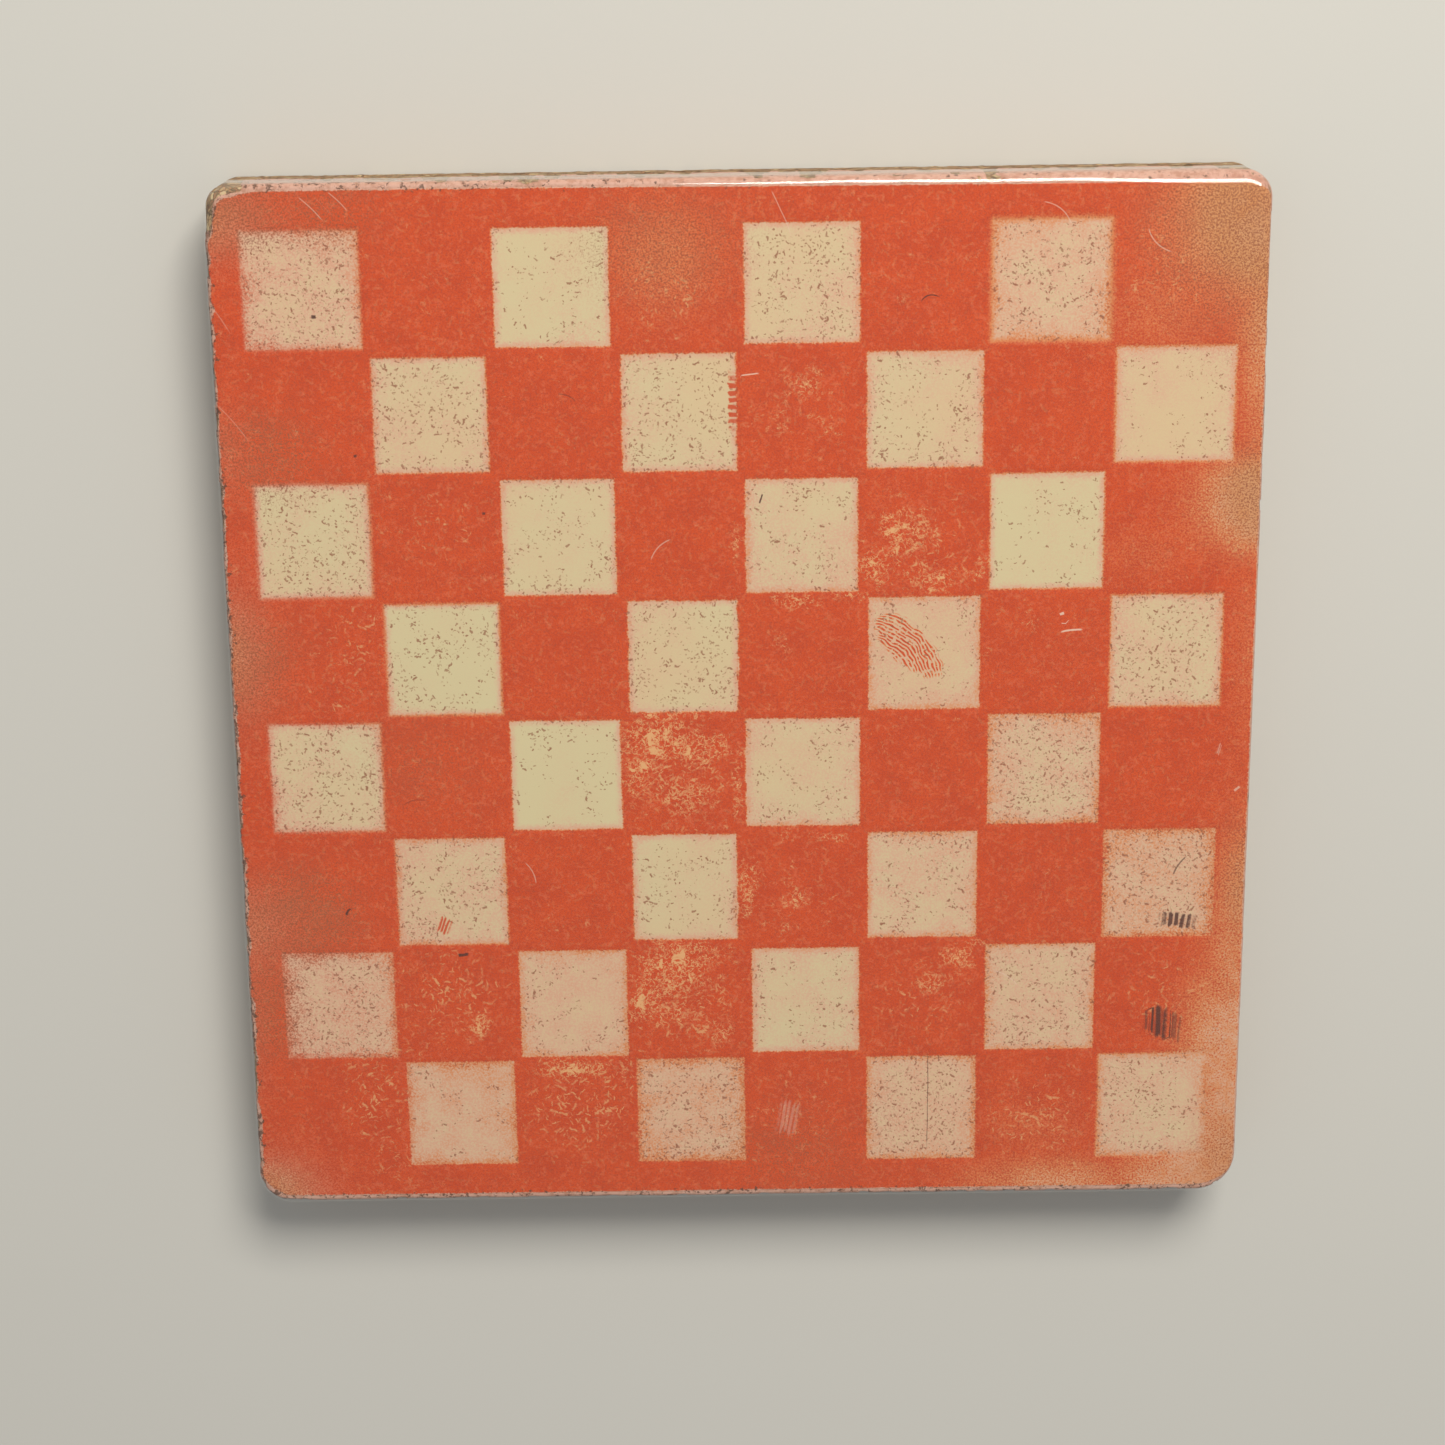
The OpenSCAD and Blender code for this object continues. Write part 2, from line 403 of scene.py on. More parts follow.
def strayed(points):
    """Moves the edges of the squares off their ruled lines, as masks laid by hand are."""
    moved = points.copy()
    for axis in (0, 1):
        other = 1 - axis
        first = GRID_MIDDLE[axis] - CELLS / 2 * PITCH[axis]
        for lane in range(CELLS):
            knots, offsets = [-1e3], [0.0]
            for cell in range(CELLS):
                col, row = (cell, lane) if axis == 0 else (lane, CELLS - 1 - cell)
                if (col + row) % 2 == 0:
                    low = first + cell * PITCH[axis] + (PITCH[axis] - SQUARE[axis]) / 2
                    stray = STRAY_EDGES.get((col, row), tuple(STRAY_AT_RANDOM[row, col]))
                    knots += [low, low + SQUARE[axis]]
                    offsets += stray[:2] if axis == 0 else stray[2:]
            knots, offsets = knots + [1e3], offsets + [0.0]
            knots[0], knots[-1] = knots[1] - 6, knots[-2] + 6
            if axis == 0:
                middle = GRID_MIDDLE[1] + (CELLS / 2 - lane - 0.5) * PITCH[1]
            else:
                middle = GRID_MIDDLE[0] + (lane + 0.5 - CELLS / 2) * PITCH[0]
            away = np.abs(points[:, other] - middle) - SQUARE[other] / 2
            inside = 1 - smooth(0, PITCH[other] - SQUARE[other], away)
            moved[:, axis] += inside * np.interp(points[:, axis], knots, offsets)
    wave = np.column_stack([noise(points, 5, 40 + axis, 2) - 0.5 for axis in (0, 1)])
    moved[:, :2] += 0.22 * wave
    return moved


def new_object(name, points, faces, attributes=None):
    mesh = bpy.data.meshes.new(name)
    mesh.from_pydata((np.asarray(points) * MM).tolist(), [], faces)
    mesh.validate()
    for key, values in (attributes or {}).items():
        numbers = np.asarray(values, np.float32)
        mesh.attributes.new(key, "FLOAT", "POINT").data.foreach_set("value", numbers)
    mesh.polygons.foreach_set("use_smooth", [True] * len(mesh.polygons))
    made = bpy.data.objects.new(name, mesh)
    bpy.context.scene.collection.objects.link(made)
    return made


def ring_faces(a, b):
    """Faces between two loops of point numbers, where a may stay on one point for a while."""
    faces = []
    count = len(a)
    for k in range(count):
        n = (k + 1) % count
        if a[k] == a[n]:
            faces.append((a[k], b[k], b[n]))
        else:
            faces.append((a[k], b[k], b[n], a[n]))
    return faces


def sheet(xs, ys, z, rows, windows=False):
    """An even grid of faces over the pattern, carried on by rows of points round the rim.
    Returns its points, its faces and the ruled places of the points."""
    across = len(xs)
    rim = Rim(xs, ys)
    ruled = np.array([(x, y, z) for y in ys for x in xs])
    inside = strayed(ruled)
    grid_x, grid_y = (xs[:-1] + xs[1:]) / 2, (ys[:-1] + ys[1:]) / 2
    middles = np.array([(x, y, z) for y in grid_y for x in grid_x])
    open_face = np.zeros(len(middles), bool)
    if windows:
        open_face = square_distances(middles)[0] < 0
    faces = []
    for number, is_open in enumerate(open_face):
        if not is_open:
            j, i = divmod(number, across - 1)
            a = j * across + i
            faces.append((a, a + 1, a + across + 1, a + across))
    rows = rows(rim, inside[rim.inner])
    loop, points, places = rim.inner, [inside], [ruled]
    start = len(inside)
    for row in rows:
        here = np.arange(start, start + len(row))
        faces += ring_faces(loop, here)
        points.append(row)
        places.append(row)
        loop, start = here, start + len(row)
    return rim, np.vstack(points), faces, np.vstack(places), loop


def margin_rows(rim, inner, inset, z, count=5):
    """Flat rows from the edge of the grid out to where the front edge starts to round."""
    outer = rim.at(-inset, z)
    shares = np.arange(1, count + 1) / count
    return [inner * (1 - t) + outer * t for t in shares]


def round_rows(rim, radius, grow, z, last=90.0, steps=ARC_STEPS):
    """Rows over the rounded front edge of a sheet that stands grow outside the slab and reaches z."""
    last = np.radians(np.broadcast_to(last, rim.radius.shape))
    rows = []
    for step in range(1, steps + 1):
        turn = last * step / steps
        rows.append(rim.at(grow - radius * (1 - np.sin(turn)), z - radius * (1 - np.cos(turn))))
    return rows


def pushed(points, normals, by):
    moved = points.copy()
    moved[:, :2] += normals * by[:, None]
    return moved


# ---- chipboard

def chip_relief(points, coarse):
    """How far the sawn side stands out at each point: torn chips, and pits in the coarse core."""
    stretched = squashed(points, 2.2)
    grain = noise(stretched, 1.6, 11) - 0.5
    pits = smooth(0.62, 0.78, noise(stretched, 2.6, 15, 2))
    return 0.25 * grain - (0.15 + 0.75 * coarse) * pits - 0.05


def chipboard_layer(name, low, high, radius_top=None, radius_bottom=0.0, step=0.55):
    """One layer of the slab, with torn chips round its sides."""
    lines = [grid_lines(axis, 1.0) for axis in (0, 1)]
    rim = Rim(*lines)
    top_round = np.zeros(len(rim.radius)) if radius_top is None else radius_top(rim)
    rows = [rim.at(-top_round - 0.9, high)]
    if radius_top is not None:
        rows.append(rim.at(-top_round, high))
        rows += round_rows(rim, top_round, 0, high)
    else:
        rows.append(rim.at(0, high))
    count = max(2, round((high - low) / step))
    start = high - top_round
    end = low + radius_bottom
    rows += [rim.at(0, start + (end - start) * k / count) for k in range(1, count + 1)]
    if radius_bottom:
        for turn in np.radians([30, 60, 90]):
            inset = radius_bottom * (1 - math.cos(turn))
            rows.append(rim.at(-inset, end - radius_bottom * math.sin(turn)))
    rows.append(rim.at(-radius_bottom - 0.9, low))
    shaped = []
    for row in rows:
        height = row[:, 2]
        coarse = smooth(1.5, 4.5, height) * smooth(CORE_TOP + 1.5, CORE_TOP - 1.5, height)
        relief = chip_relief(row, coarse)
        buried = smooth(FACE_Z - 0.2, FACE_Z, height)
        shaped.append(pushed(row, rim.normal, relief * (1 - buried)))
    shaped[0], shaped[-1] = rows[0], rows[-1]
    faces, loops = [], []
    for number, row in enumerate(shaped):
        loops.append(np.arange(len(row)) + number * len(row))
        if number:
            faces += ring_faces(loops[-2], loops[-1])
    faces.append(loops[0].tolist())
    faces.append(loops[-1][::-1].tolist())
    return new_object(name, np.vstack(shaped), faces)


# ---- paint and varnish

def undercoat_bare(rim, points):
    """How bare of paint the edge is: 1 where the chipboard shows, 0 under sound paint."""
    rough = roughness_round(rim)
    height = points[:, 2]
    ragged_line = CREAM_LOW_Z + 0.8 + 3.2 * noise(squashed(points, 0.4), 2.2, 21)
    ragged_line = ragged_line + 1.6 * noise(squashed(points, 0.0), 14, 22, 1)
    upward = smooth(0.6, 1, rim.normal[:, 1])
    torn = smooth(0.52, 0.80, noise(squashed(points, 0.1), 2.6, 31, 2))
    below = height < ragged_line + 11 * upward * torn
    pits = noise(squashed(points, 0.6), 1.5, 24, 2) > 0.80 - 0.10 * rough
    corner = rim.near(SLAB_LOW[0] + 1, SLAB_HIGH[1] - 1, 12) * (0.75 + 0.5 * noise(points, 2.0, 25))
    worn_corner = (corner > 0.35 + 0.03 * (FACE_Z - height)) & (height < CREAM_Z - 0.12)
    left = smooth(0.6, 1, -rim.normal[:, 0]) + 0.6 * smooth(0.6, 1, -rim.normal[:, 1])
    arris = smooth(1.3, 0.2, np.abs(height - FACE_Z + 0.9))
    chips = noise(squashed(points, 0.5), 2.0, 26, 3) > 0.84 - 0.30 * left * arris - 0.12 * rough
    right_corner = rim.near(SLAB_HIGH[0] + 0.5, SLAB_HIGH[1] + 1, 16)
    right = smooth(0.6, 1, rim.normal[:, 0]) * smooth(35, 60, rim.edge[:, 1])
    worn_right = np.abs(height - FACE_Z + 1.2) < 1.8 * right * noise(points, 3.5, 29, 2)
    worn_low = (height < FACE_Z - 4.5 + 2.5 * noise(points, 2.2, 28)) & (right_corner > 0.5)
    chipped = (pits | chips) & (height < FACE_Z + 0.1)
    return (below | chipped | worn_corner | worn_low | worn_right).astype(float)


def mark_values(points):
    """Each point's place along and across the mark nearest to it, and what that mark is like."""
    best = np.full(len(points), 1e9)
    values = {name: np.zeros(len(points)) for name in MARK_VALUES}
    for col, row, half_length, half_width, angle, bend, tone, streaks in MARKS:
        x, y = cell_to_mm(col, row)
        turn = math.radians(angle)
        off_x, off_y = points[:, 0] - x, points[:, 1] - y
        along = off_x * math.cos(turn) + off_y * math.sin(turn)
        across = off_y * math.cos(turn) - off_x * math.sin(turn)
        room = half_width + abs(bend)
        away = np.hypot(np.maximum(np.abs(along) - half_length, 0), np.maximum(np.abs(across) - room, 0))
        near = away < best
        best[near] = away[near]
        found = (along / half_length, across / half_width, bend / half_width)
        for name, value in zip(MARK_VALUES, (*found, tone, streaks, away < MARK_MARGIN)):
            values[name][near] = np.broadcast_to(value, near.shape)[near]
    return values


def comb_teeth(points):
    """How far the teeth of a frayed mask reach into the red at each point."""
    x, y = points[:, 0], points[:, 1]
    row = CELLS / 2 - (y - GRID_MIDDLE[1]) / PITCH[1]
    depth = np.zeros(len(points))
    for col, low, high, pitch, reach in COMBS:
        tooth = np.floor(y / pitch).astype(np.int64)
        length = 0.25 + 0.75 * lattice_value(tooth, tooth * 0 + int(col), tooth * 0, 5)
        across = np.abs(y / pitch - tooth - 0.5) * 2
        here = (row > low) & (row < high) & (np.abs(x - cell_to_mm(col, 0)[0]) < 4)
        depth = np.where(here, reach * length * smooth(0.75, 0.35, across), depth)
    return -depth


def nicks_and_edge_shade(points):
    """How nicked the paint is near the edges, together with painted shade along them: most on the left,
    least on the right.
    """
    x, y = points[:, 0], points[:, 1]
    left, bottom = smooth(9, 4, x - SLAB_LOW[0]), 0.75 * smooth(8, 3, y - SLAB_LOW[1])
    top = smooth(-8, -3, y - SLAB_HIGH[1]) * (0.45 + 0.3 * smooth(20, -80, x))
    right = 0.3 * smooth(-8, -4, x - SLAB_HIGH[0])
    return np.max([left, bottom, top, right], axis=0)


def paint_values(points, places):
    """What the paint's material needs to know at each point."""
    distance, nearest = square_distances(places)
    take = lambda table: np.array(table)[nearest]
    thin = patches(places, THIN_RED)
    cloud = noise(places, 17, 51, 2) - 0.5
    return {
        "edge": distance,
        "blur": take(BLUR),
        "ragged": take(RAGGED),
        "cover": np.clip(1 - thin + 0.05 * cloud, 0, 1),
        "haze": np.clip(take(HAZE) + 0.5 * cloud, 0, 1),
        "fibres": np.clip(take(FIBRES) + 0.9 * (noise(places, 7, 53, 2) - 0.5), 0, 1),
        "green": take(GREEN),
        "scuffed": patches(places, SCUFFED),
        "flaked": patches(places, FLAKED),
        "dull": patches(places, DULL),
        "rough": nicks_and_edge_shade(places),
        "comb": comb_teeth(places),
        "bound": np.clip(inset_from_edge(points) - red_inset(points), -3, 9),
        **mark_values(places),
    }


def cream_rows(rim, inner):
    radius = front_radius(rim) + CREAM_Z - FACE_Z
    thick = CREAM_Z - FACE_Z
    rows = margin_rows(rim, inner, radius - thick, CREAM_Z)
    over_edge = round_rows(rim, radius, thick, CREAM_Z)
    count = 24
    start = CREAM_Z - radius
    side = [rim.at(thick, start + (CREAM_LOW_Z - start) * k / count) for k in range(1, count + 1)]
    shaped = []
    for row in over_edge + side:
        bare = undercoat_bare(rim, row)
        ripple = 0.10 * (noise(row, 3.0, 27, 2) - 0.5)
        depth = np.where(row[:, 2] > CREAM_Z - 0.3, 0.25, 0.75)
        shaped.append(pushed(row, rim.normal, ripple - bare * depth))
    shaped[-1] = rim.at(-0.35, CREAM_LOW_Z)
    inside_wall = [rim.at(-0.6, CREAM_LOW_Z), rim.at(-radius - 0.6, FACE_Z - 0.3)]
    return rows + shaped + inside_wall


def cream_undercoat():
    xs, ys = grid_lines(0, CREAM_GRID), grid_lines(1, CREAM_GRID)
    _, points, faces, places, last = sheet(xs, ys, CREAM_Z, cream_rows)
    faces.append(last[::-1].tolist())
    return new_object("cream_undercoat_worn", points, faces, paint_values(points, places))


def red_rows(rim, inner):
    """The red coat stops short of the front edge, or rolls some way over it."""
    lift = RED_Z - FACE_Z
    radius = front_radius(rim) + lift
    stop = red_inset(rim.edge)
    rolls = np.clip(1 - (stop + lift) / radius, 0, 0.8)
    back_off = np.maximum(stop, radius - lift)
    rows = margin_rows(rim, inner, back_off, RED_Z)
    over_edge = round_rows(rim, radius, lift, RED_Z, last=np.degrees(np.arcsin(rolls)), steps=5)
    for step, row in enumerate(over_edge):
        flat = rim.at(0.04 * (step + 1) - back_off, RED_Z - 0.012 * step)
        rows.append(np.where((rolls > 0.02)[:, None], row, flat))
    return rows


def keep_border_sharp(mesh):
    """The thin walls round the film don't round off its flat faces."""
    edges = np.zeros(len(mesh.loops), np.int32)
    mesh.loops.foreach_get("edge_index", edges)
    border = np.bincount(edges, minlength=len(mesh.edges)) == 1
    mesh.attributes.new("sharp_edge", "BOOLEAN", "EDGE").data.foreach_set("value", border)


def red_coat():
    xs, ys = grid_lines(0, RED_GRID), grid_lines(1, RED_GRID)
    _, points, faces, places, _ = sheet(xs, ys, RED_Z, red_rows, windows=True)
    values = paint_values(points, places)
    ridge = np.exp(-(values["edge"] / 0.22) ** 2) * (1 - values["blur"])
    points[:, 2] += 0.03 * ridge * (0.4 + noise(places, 2.5, 63, 2))
    inner = points[:, 2] > RED_Z - 0.01
    points[:, 2] -= inner * 0.09 * (1 - smooth(0.0, 0.9, values["edge"]))
    used = np.unique([index for face in faces for index in face])
    renumber = np.full(len(points), -1)
    renumber[used] = np.arange(len(used))
    faces = [tuple(renumber[list(face)]) for face in faces]
    piece = new_object("red_coat_sprayed", points[used], faces, {k: v[used] for k, v in values.items()})
    keep_border_sharp(piece.data)
    film = piece.modifiers.new("film", "SOLIDIFY")
    film.thickness, film.offset = 1.2 * (RED_Z - CREAM_Z) * MM, -1
    return piece


def varnish_rows(rim, inner):
    """The varnish lies level, rolls over the front edge in slow waves and runs out down the side."""
    thick = VARNISH_Z - FACE_Z
    top = smooth(0.5, 0.9, rim.normal[:, 1])
    radius = front_radius(rim) + thick + 0.55 * top
    rough = roughness_round(rim) * (1 - 0.8 * top * smooth(-10, 10, rim.edge[:, 0]))
    rows = margin_rows(rim, inner, radius - thick, VARNISH_Z)
    over = round_rows(rim, radius, thick, VARNISH_Z, steps=12)
    count = 16
    start = VARNISH_Z - radius
    side = [rim.at(thick, start + (VARNISH_LOW_Z - start) * k / count) for k in range(1, count + 1)]
    shaped = []
    for row in over + side:
        slow = 0.16 * (noise(squashed(row, 0.3), 12, 71, 2) - 0.5)
        fall = smooth(FACE_Z + 0.2, FACE_Z - 1.5, row[:, 2])
        pits = smooth(0.60, 0.72, noise(row, 1.8, 73, 2)) * rough
        run_out = smooth(VARNISH_LOW_Z + 3.5, VARNISH_LOW_Z, row[:, 2] - 2.5 * noise(row, 6, 75, 2))
        drop = 0.30 * fall + 0.45 * pits * fall + 0.15 * rough + 0.5 * run_out
        shaped.append(pushed(row, rim.normal, np.clip(slow - drop, -0.9, 0)))
    shaped[-1] = rim.at(-0.15, VARNISH_LOW_Z)
    return rows + shaped + [rim.at(-0.5, VARNISH_LOW_Z), rim.at(-radius - 0.4, FACE_Z - 0.2)]


def clear_varnish():
    xs, ys = grid_lines(0, VARNISH_GRID), grid_lines(1, VARNISH_GRID)
    _, points, faces, _, last = sheet(xs, ys, VARNISH_Z, varnish_rows)
    inside = len(xs) * len(ys)
    level = 0.05 * (noise(points[:inside], 26, 77, 2) - 0.5)
    border = np.abs(points[:inside, :2] - GRID_MIDDLE) - CELLS / 2 * PITCH
    points[:inside, 2] += level * (1 - smooth(-8, 0, border.max(axis=1)))
    faces.append(last[::-1].tolist())
    return new_object("clear_varnish_shell", points, faces)


# ---- shader trees

def srgb(red, green, blue):
    """A colour given by its screen values from 0 to 255, as linear light."""
    shares = [value / 255 for value in (red, green, blue)]
    return (*[s / 12.92 if s <= 0.04045 else ((s + 0.055) / 1.055) ** 2.4 for s in shares], 1.0)


class Signal:
    """A value in a shader tree. Arithmetic on it adds the nodes that work it out."""

    def __init__(self, tree, socket):
        self.tree, self.socket = tree, socket

    def __add__(self, other):
        return self.tree.math("ADD", self, other)

    def __sub__(self, other):
        return self.tree.math("SUBTRACT", self, other)

    def __rsub__(self, other):
        return self.tree.math("SUBTRACT", other, self)

    def __mul__(self, other):
        return self.tree.math("MULTIPLY", self, other)

    def __truediv__(self, other):
        return self.tree.math("DIVIDE", self, other)

    def __abs__(self):
        return self.tree.math("ABSOLUTE", self)

    __radd__, __rmul__ = __add__, __mul__


class Tree:
    """Adds nodes to a shader tree."""

    def __init__(self, tree):
        self.tree = tree

    def feed(self, socket, value):
        if isinstance(value, Signal):
            self.tree.links.new(value.socket, socket)
        else:
            socket.default_value = value

    def node(self, kind, inputs=None, **settings):
        made = self.tree.nodes.new("ShaderNode" + kind)
        for key, value in settings.items():
            setattr(made, key, value)
        for key, value in (inputs or {}).items():
            self.feed(made.inputs[key], value)
        return made

    def out(self, made, key=0):
        return Signal(self, made.outputs[key])

    def math(self, operation, *values):
        made = self.node("Math", operation=operation)
        for socket, value in zip(made.inputs, values):
            self.feed(socket, value)
        return self.out(made)

    def most(self, a, b):
        return self.math("MAXIMUM", a, b)

    def vector(self, operation, *values):
        made = self.node("VectorMath", operation=operation)
        for socket, value in zip(made.inputs, values):
            self.feed(socket, value)
        return self.out(made)

    def ramp(self, value, low, high, start=0.0, end=1.0):
        """Goes smoothly from start to end as the value goes from low to high."""
        limits = {"Value": value, "From Min": low, "From Max": high, "To Min": start, "To Max": end}
        return self.out(self.node("MapRange", limits, interpolation_type="SMOOTHSTEP"))

    def mix(self, share, a, b):
        made = self.node("Mix", data_type="RGBA")
        for index, value in ((0, share), (6, a), (7, b)):
            self.feed(made.inputs[index], value)
        return self.out(made, 2)

    def attribute(self, name):
        return self.out(self.node("Attribute", attribute_name=name), 2)

    def place(self):
        """Millimetres on the board."""
        return self.vector("MULTIPLY", self.out(self.node("TexCoord"), "Object"), (1000, 1000, 1000))

    def noise(self, place, size, detail=2.0, stretch=(1, 1, 1), rough=0.5, distortion=0.0):
        """Noise around 0.5, with features about size across."""
        scaled = self.vector("MULTIPLY", place, tuple(s / size for s in stretch))
        inputs = {"Vector": scaled, "Scale": 1.0, "Detail": detail, "Roughness": rough}
        inputs["Distortion"] = distortion
        return self.out(self.node("TexNoise", inputs))

    def wander(self, place, spacing, by):
        """The place, moved a little every way, so that patterns on it don't look ruled."""
        noise = self.node("TexNoise", {"Vector": place, "Scale": spacing})
        offset = self.node("VectorMath", {0: self.out(noise, 1), "Scale": by}, operation="SCALE")
        return self.vector("ADD", place, self.out(offset))

    def show(self, shader):
        self.node("OutputMaterial", {"Surface": self.out(shader)})

    def turned(self, place, angle):
        inputs = {"Vector": place, "Angle": angle}
        return self.out(self.node("VectorRotate", inputs, rotation_type="Z_AXIS"))

    def parts(self, vector):
        split = self.node("SeparateXYZ", {"Vector": vector})
        return [self.out(split, index) for index in range(3)]

    def dashes(self, place, cell, length, width, share, bend=0.0):
        """Short straight or curved strokes lying every way, in a share of the cells of a random net.
        Returns how much of a stroke is at the point and a random number for the stroke."""
        inputs = {"Vector": place, "Scale": 1 / cell, "Randomness": 1.0}
        net = self.node("TexVoronoi", inputs, voronoi_dimensions="2D")
        chance = self.parts(self.out(net, "Color"))
        off = self.vector("SUBTRACT", place, self.out(net, "Position"))
        along, across, _ = self.parts(self.turned(off, chance[0] * 6.28))
        if bend:
            across = across + along * along * ((chance[2] - 0.5) * bend)
        size = chance[2] * 0.9 + 0.45
        ends = self.ramp(abs(along) / size, length, length * 0.6)
        sides = self.ramp(abs(across) / size, width, width * 0.35)
        here = self.math("LESS_THAN", chance[1], share)
        return ends * sides * here, chance[2]


def new_material(name):
    material = bpy.data.materials.new(name)
    material.use_nodes = True
    material.node_tree.nodes.clear()
    return material, Tree(material.node_tree)


# ---- the paint

CREAM = srgb(214, 187, 143)
CREAM_GREENISH = srgb(210, 195, 150)
PINK_CREAM = srgb(215, 168, 138)
THIN_COAT = srgb(214, 139, 87)
THIN_COAT_LEFT = srgb(206, 122, 90)
FULL_RED = srgb(209, 77, 29)
DEEP_RED = srgb(199, 70, 27)
TAN = srgb(192, 112, 72)
BROWN = srgb(128, 88, 58)
PIT = srgb(140, 78, 50)
# Dark brown of the nicks along the front edge, also used there as painted shade.
NICK_AND_SHADE = srgb(96, 66, 48)
SIDE_PINK = srgb(205, 158, 138)
SIDE_TAN = srgb(176, 122, 98)
GOLD = srgb(203, 140, 84)
SCUFF = srgb(226, 172, 116)
INK = srgb(84, 50, 40)
WHITE_SCRATCH = srgb(226, 190, 165)
RED_GRAIN = srgb(166, 66, 46)
RED_MOTTLE = srgb(222, 112, 74)

RIDGES_AT = (5.35, 3.42)  # cell position
RIDGE_SPACING = 0.72
PAINT_VALUES = (
    "edge", "blur", "ragged", "cover", "haze", "fibres", "green", "scuffed", "flaked", "dull",
    "comb", "bound", "rough", *MARK_VALUES,
)


def amount_of_red(t, place, grain, cloud, v):
    """0 on bare cream and 1 under the full red coat, and how far the spray reached at the edge."""
    fine = grain - 0.5
    wave = t.noise(place, 2.4, 2.0) - 0.5
    fray = v.ragged * 1.9 + 0.12
    edge = v.edge + fine * 1.1 + wave * fray * 0.9 + v.comb
    width = v.blur * v.blur * 2.0 + 0.40
    red = t.ramp(edge / width, -1.0, 0.8)
    thin = 1 - v.cover
    speckle = fine * (thin * 4.5 + 0.55)
    covered = red * (v.cover + speckle + (cloud - 0.5) * thin)
    sprayed = t.ramp(v.bound + fine * 1.2 + wave * 0.4, -0.22, 0.22)
    near_edge = t.ramp(v.edge, -5.0, 0.0)
    mist = (v.haze * 0.9 + 0.1) * (near_edge * 0.12 + 0.28) * t.ramp(cloud, 0.32, 0.68, 0.7, 1.2)
    mist = mist * t.ramp(grain, 0.36, 0.64, 0.55, 1.5)
    mist = mist + t.ramp(v.edge + fine * 1.2, -1.7, 0.0) * t.ramp(wave, -0.2, 0.2, 0.12, 0.26)
    return t.most(covered, mist) * sprayed, sprayed


def ridge_pattern(t, place):
    """A small oval of fine arched ridges pressed into the paint, of no particular pattern."""
    x, y = cell_to_mm(*RIDGES_AT)
    off = t.turned(t.vector("SUBTRACT", place, (float(x), float(y), 0)), math.radians(45))
    warp = t.noise(place, 3.0, 1.0) - 0.5
    along, across, _ = t.parts(off)
    oval = t.vector("MULTIPLY", off, (0.1, 0.22, 0))
    length = t.out(t.node("VectorMath", {0: oval}, operation="LENGTH"), 1)
    inside = t.ramp(length + warp * 0.5, 1.0, 0.8)
    arch = across + along * along * 0.035 + warp * 1.6
    ridges = t.math("SINE", arch * (2 * math.pi / RIDGE_SPACING))
    broken = t.ramp(t.noise(place, 0.9, 2.0), 0.36, 0.52, 0.25, 1.0)
    return inside * broken * t.ramp(ridges, -0.6, 0.4, 0.15, 1.0)


def bared_patches(t, place, loose, grain, v):
    """Scuffs, spots and flakes where the red has come off."""
    worn = t.noise(place, 2.3, 4.0, rough=0.62, distortion=0.6)
    lace = abs(t.noise(loose, 1.3, 3.0, rough=0.6) - 0.5)
    lace = t.ramp(lace, 0.040, 0.014) * t.ramp(worn + v.scuffed * 0.42, 0.56, 0.84)
    spot = t.ramp(worn + grain * 0.25 + v.scuffed * 0.24, 0.90, 0.96)
    scuff = t.most(lace * 0.72, spot * 0.9)
    flakes, flake_tone = t.dashes(loose, 2.0, 0.95, 0.28, 0.8, 0.3)
    slivers, sliver_tone = t.dashes(t.vector("ADD", loose, (7, 53, 0)), 1.25, 0.62, 0.15, 0.8, 0.4)
    flaking = t.ramp(worn + v.flaked * 0.36, 0.56, 0.86)
    chipped = t.most(flakes * (flake_tone * 0.5 + 0.15), slivers * (sliver_tone * 0.5 + 0.2))
    return t.most(t.most(scuff, chipped * flaking), flakes * (flake_tone * 0.12))


def coat_color(t, place, red, grain, cloud, v):
    """Cream, then a thin coat, then full red as the amount of red grows."""
    slow = t.noise(place, 30.0, 2.0)
    cream = t.mix(t.ramp(slow + v.green * 0.55, 0.45, 1.05), CREAM, CREAM_GREENISH)
    full = t.mix(t.ramp(cloud, 0.3, 0.75), FULL_RED, DEEP_RED)
    mottle = t.noise(place, 1.1, 3.0, rough=0.7)
    full = t.mix(t.ramp(grain, 0.48, 0.62, 0.0, 0.55), full, RED_GRAIN)
    full = t.mix(t.ramp(mottle, 0.50, 0.68, 0.0, 0.40), full, RED_MOTTLE)
    low = t.ramp(red, 0.0, 0.3)
    middle = t.ramp(red, 0.2, 0.62)
    high = t.ramp(red, 0.45, 1.0)
    thin = t.mix(t.ramp(t.parts(place)[0], -60.0, -95.0), THIN_COAT, THIN_COAT_LEFT)
    return t.mix(high, t.mix(middle, t.mix(low, cream, PINK_CREAM), thin), full)


def dulled(t, color, red, grain, cloud, v):
    """Handled patches: tan over the red, gold where it is thin, and dirt in the grain."""
    dull = v.dull * t.ramp(cloud, 0.25, 0.7) * t.ramp(red, 0.1, 0.5)
    color = t.mix(dull * 0.50, color, TAN)
    gold = v.dull * t.ramp(v.cover, 0.85, 0.45)
    speckled = t.mix(t.ramp(grain, 0.42, 0.58), GOLD, TAN)
    color = t.mix(t.math("MINIMUM", gold * 1.5, 0.75), color, speckled)
    dirt = t.ramp(grain + v.dull * 0.08, 0.53, 0.62) * t.ramp(v.dull, 0.05, 0.4)
    return t.mix(dirt * 0.55, color, BROWN)


